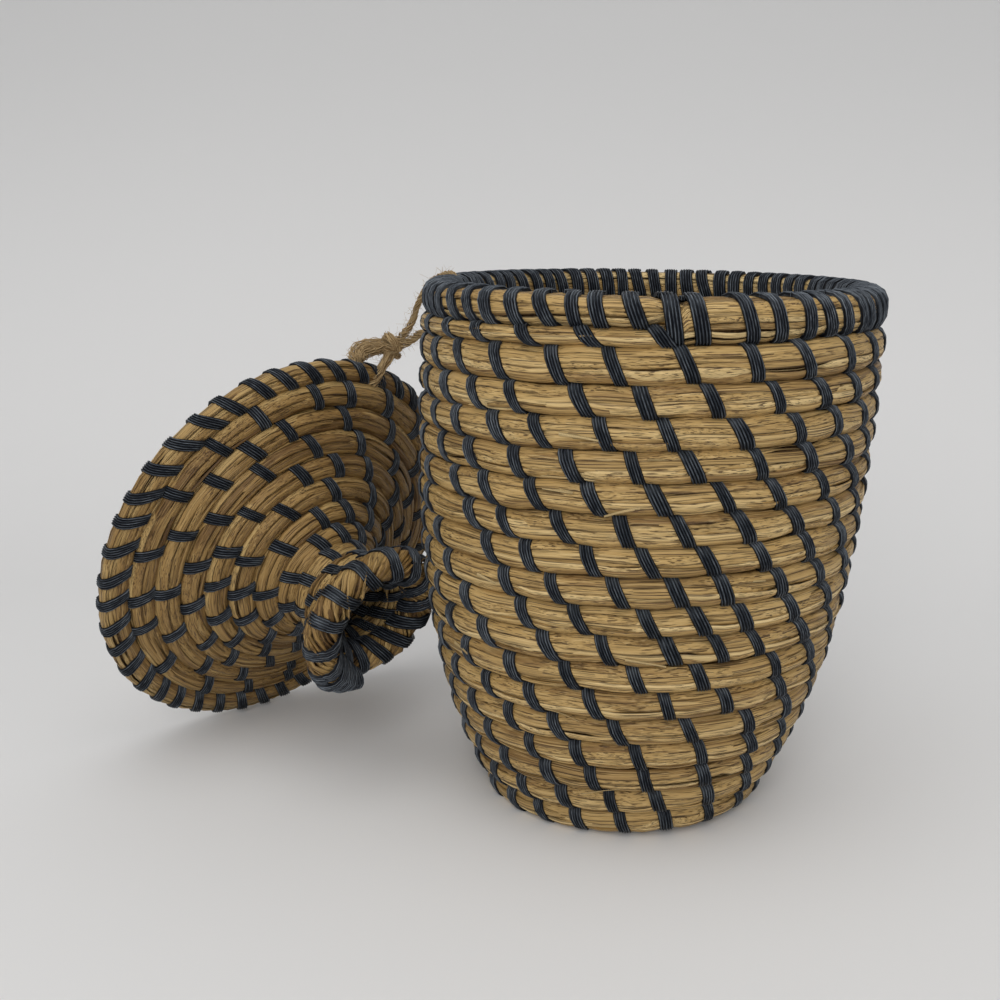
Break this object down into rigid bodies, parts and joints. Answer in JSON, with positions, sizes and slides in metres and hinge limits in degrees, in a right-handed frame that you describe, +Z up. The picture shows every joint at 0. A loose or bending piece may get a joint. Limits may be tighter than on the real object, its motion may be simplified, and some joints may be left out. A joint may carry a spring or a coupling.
{
  "type": "lidded coiled basket",
  "caption": "Coiled grass basket, round foot to wide mouth, stitched with flat ribbon; a cone lid with a flared hollow knob hangs tied to the rim and leans against the wall.",
  "frame": {"origin": "centre of the base, on the floor", "axes": "+Z up, -Y towards the viewer of the picture, +X to the right; the lid leans at the back left, towards -X and +Y"},
  "size_m": [0.2679, 0.1714, 0.1797],
  "materials": {
    "wall_grass": "dry golden grass, glossy straw by straw",
    "lid_grass": "dry golden grass, a little darker",
    "ribbon": "dark blue-grey flat ribbon, satin, finely ridged",
    "twine": "matt hairy jute"
  },
  "bodies": {
    "basket": {"base_coil": "wall_grass", "wall_coil": "wall_grass", "rim_coil": "wall_grass", "wall_binder": "ribbon", "tie_rim_loop": "twine"},
    "tie": {"tie_strand": "twine", "tie_knot": "twine"},
    "lid": {"lid_rim_coil": "lid_grass", "lid_coil": "lid_grass", "knob_coil": "lid_grass", "lid_binder": "ribbon", "knob_binder": "ribbon", "tie_lid_loop": "twine", "tie_tail": "twine"}
  },
  "joints": [
    {"name": "tie_swing", "type": "hinge", "parent": "basket", "child": "tie", "pos_m": [-0.06801, 0.0284, 0.15568], "axis": [0.3633, 0.9317, 0], "range_deg": [0, 74.15]},
    {"name": "lid_swing", "type": "hinge", "parent": "tie", "child": "lid", "pos_m": [-0.09287, 0.03841, 0.15351], "axis": [0.4539, 0.8765, -0.1604], "range_deg": [0, 174.25]}
  ]
}
